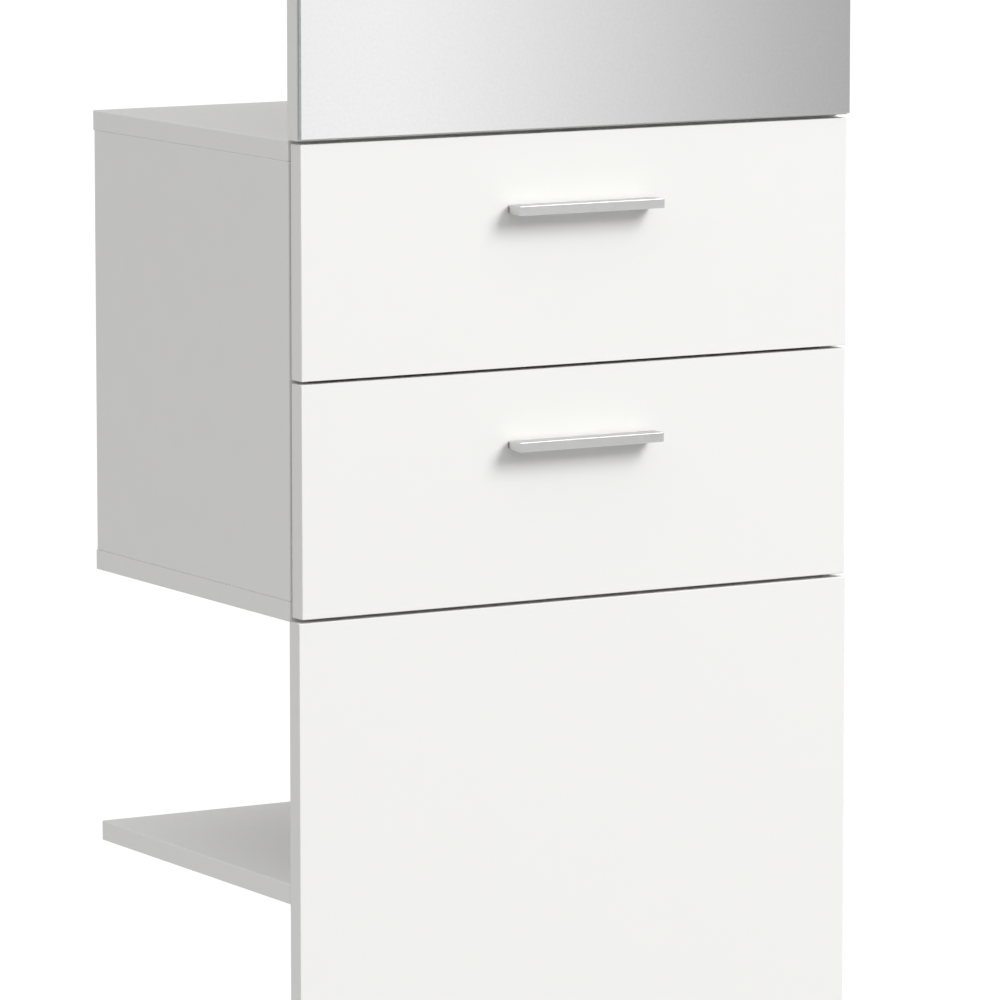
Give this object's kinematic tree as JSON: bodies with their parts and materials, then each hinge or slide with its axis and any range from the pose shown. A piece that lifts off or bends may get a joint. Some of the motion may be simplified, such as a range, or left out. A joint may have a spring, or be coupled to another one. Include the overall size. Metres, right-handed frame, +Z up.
{
  "type": "hall unit with mirror and drawers",
  "caption": "Tall white hall unit: mirror panel above, a box with sliding drawers in the middle, open side shelves behind a front panel below.",
  "frame": {"origin": "centre of the whole unit's footprint box, on the floor", "axes": "+X to the right seen from the front, +Y from the front to the rear, +Z up"},
  "size_m": [0.5016, 0.3652, 1.915],
  "materials": {
    "white_board": "white melamine-faced chipboard, fine satin grain",
    "drawer_board": "white foil-wrapped chipboard, smooth",
    "hardboard": "white-lacquered hardboard, fine fibre texture",
    "mirror": "silvered float glass",
    "satin_metal": "satin silver, lacquered die casting",
    "runner_paint": "white epoxy powder coat",
    "roller_nylon": "natural nylon",
    "screw_steel": "zinc-plated steel",
    "bracket_steel": "white powder-coated steel",
    "zinc": "zinc die casting, matt",
    "beech": "fluted beech dowel",
    "glider_plastic": "moulded polyethylene",
    "foam_tape": "double-sided foam tape"
  },
  "bodies": {
    "cabinet": {"base_board": "white_board", "floor_gliders": "glider_plastic", "lower_upright": "white_board", "shelf_left_lower": "white_board", "shelf_left_upper": "white_board", "shelf_right_lower": "white_board", "shelf_right_upper": "white_board", "lower_front_panel": "white_board", "box_bottom_board": "white_board", "box_left_side": "white_board", "box_right_side": "white_board", "box_top_board": "white_board", "box_back_panel": "hardboard", "upper_upright": "white_board", "mirror_panel": "white_board", "mirror_tape": "foam_tape", "mirror_glass": "mirror", "top_board": "white_board", "coat_hooks": "satin_metal", "coat_hook_studs": "screw_steel", "wall_brackets": "bracket_steel", "wood_dowels": "beech", "cam_bolts": "zinc", "cam_discs": "zinc", "cabinet_runner_upper_left": "runner_paint", "cabinet_runner_upper_right": "runner_paint", "cabinet_runner_lower_left": "runner_paint", "cabinet_runner_lower_right": "runner_paint", "wood_screws": "screw_steel"},
    "lower_drawer": {"lower_drawer_front": "white_board", "lower_drawer_side_left": "drawer_board", "lower_drawer_side_right": "drawer_board", "lower_drawer_back": "drawer_board", "lower_drawer_bottom": "hardboard", "lower_handle": "satin_metal", "lower_handle_screws": "screw_steel", "lower_drawer_runner_left": "runner_paint", "lower_drawer_runner_right": "runner_paint", "lower_drawer_screws": "screw_steel", "lower_drawer_cam_fittings": "zinc"},
    "upper_drawer": {"upper_drawer_front": "white_board", "upper_drawer_side_left": "drawer_board", "upper_drawer_side_right": "drawer_board", "upper_drawer_back": "drawer_board", "upper_drawer_bottom": "hardboard", "upper_handle": "satin_metal", "upper_handle_screws": "screw_steel", "upper_drawer_runner_left": "runner_paint", "upper_drawer_runner_right": "runner_paint", "upper_drawer_screws": "screw_steel", "upper_drawer_cam_fittings": "zinc"},
    "front_roller_lower_left": {"front_roller_lower_left": "roller_nylon"},
    "rear_roller_lower_left": {"rear_roller_lower_left": "roller_nylon"},
    "front_roller_lower_right": {"front_roller_lower_right": "roller_nylon"},
    "rear_roller_lower_right": {"rear_roller_lower_right": "roller_nylon"},
    "front_roller_upper_left": {"front_roller_upper_left": "roller_nylon"},
    "rear_roller_upper_left": {"rear_roller_upper_left": "roller_nylon"},
    "front_roller_upper_right": {"front_roller_upper_right": "roller_nylon"},
    "rear_roller_upper_right": {"rear_roller_upper_right": "roller_nylon"}
  },
  "joints": [
    {"name": "lower_drawer_slide", "type": "slide", "parent": "cabinet", "child": "lower_drawer", "axis": [0, -1, 0], "range_m": [0, 0.225]},
    {"name": "upper_drawer_slide", "type": "slide", "parent": "cabinet", "child": "upper_drawer", "axis": [0, -1, 0], "range_m": [0, 0.225]},
    {"name": "front_roller_lower_left_spin", "type": "hinge", "parent": "cabinet", "child": "front_roller_lower_left", "pos_m": [-0.2285, -0.1334, 0.711], "axis": [1, 0, 0], "continuous": true},
    {"name": "rear_roller_lower_left_spin", "type": "hinge", "parent": "lower_drawer", "child": "rear_roller_lower_left", "pos_m": [-0.227, 0.1424, 0.709], "axis": [1, 0, 0], "continuous": true},
    {"name": "front_roller_lower_right_spin", "type": "hinge", "parent": "cabinet", "child": "front_roller_lower_right", "pos_m": [0.2285, -0.1334, 0.711], "axis": [1, 0, 0], "continuous": true},
    {"name": "rear_roller_lower_right_spin", "type": "hinge", "parent": "lower_drawer", "child": "rear_roller_lower_right", "pos_m": [0.227, 0.1424, 0.709], "axis": [1, 0, 0], "continuous": true},
    {"name": "front_roller_upper_left_spin", "type": "hinge", "parent": "cabinet", "child": "front_roller_upper_left", "pos_m": [-0.2285, -0.1334, 0.8959], "axis": [1, 0, 0], "continuous": true},
    {"name": "rear_roller_upper_left_spin", "type": "hinge", "parent": "upper_drawer", "child": "rear_roller_upper_left", "pos_m": [-0.227, 0.1424, 0.8939], "axis": [1, 0, 0], "continuous": true},
    {"name": "front_roller_upper_right_spin", "type": "hinge", "parent": "cabinet", "child": "front_roller_upper_right", "pos_m": [0.2285, -0.1334, 0.8959], "axis": [1, 0, 0], "continuous": true},
    {"name": "rear_roller_upper_right_spin", "type": "hinge", "parent": "upper_drawer", "child": "rear_roller_upper_right", "pos_m": [0.227, 0.1424, 0.8939], "axis": [1, 0, 0], "continuous": true}
  ],
  "couplings": [
    {"joint": "front_roller_lower_left_spin", "follows": "lower_drawer_slide", "rad_per_m": 117.65},
    {"joint": "rear_roller_lower_left_spin", "follows": "lower_drawer_slide", "rad_per_m": 117.65},
    {"joint": "front_roller_lower_right_spin", "follows": "lower_drawer_slide", "rad_per_m": 117.65},
    {"joint": "rear_roller_lower_right_spin", "follows": "lower_drawer_slide", "rad_per_m": 117.65},
    {"joint": "front_roller_upper_left_spin", "follows": "upper_drawer_slide", "rad_per_m": 117.65},
    {"joint": "rear_roller_upper_left_spin", "follows": "upper_drawer_slide", "rad_per_m": 117.65},
    {"joint": "front_roller_upper_right_spin", "follows": "upper_drawer_slide", "rad_per_m": 117.65},
    {"joint": "rear_roller_upper_right_spin", "follows": "upper_drawer_slide", "rad_per_m": 117.65}
  ]
}
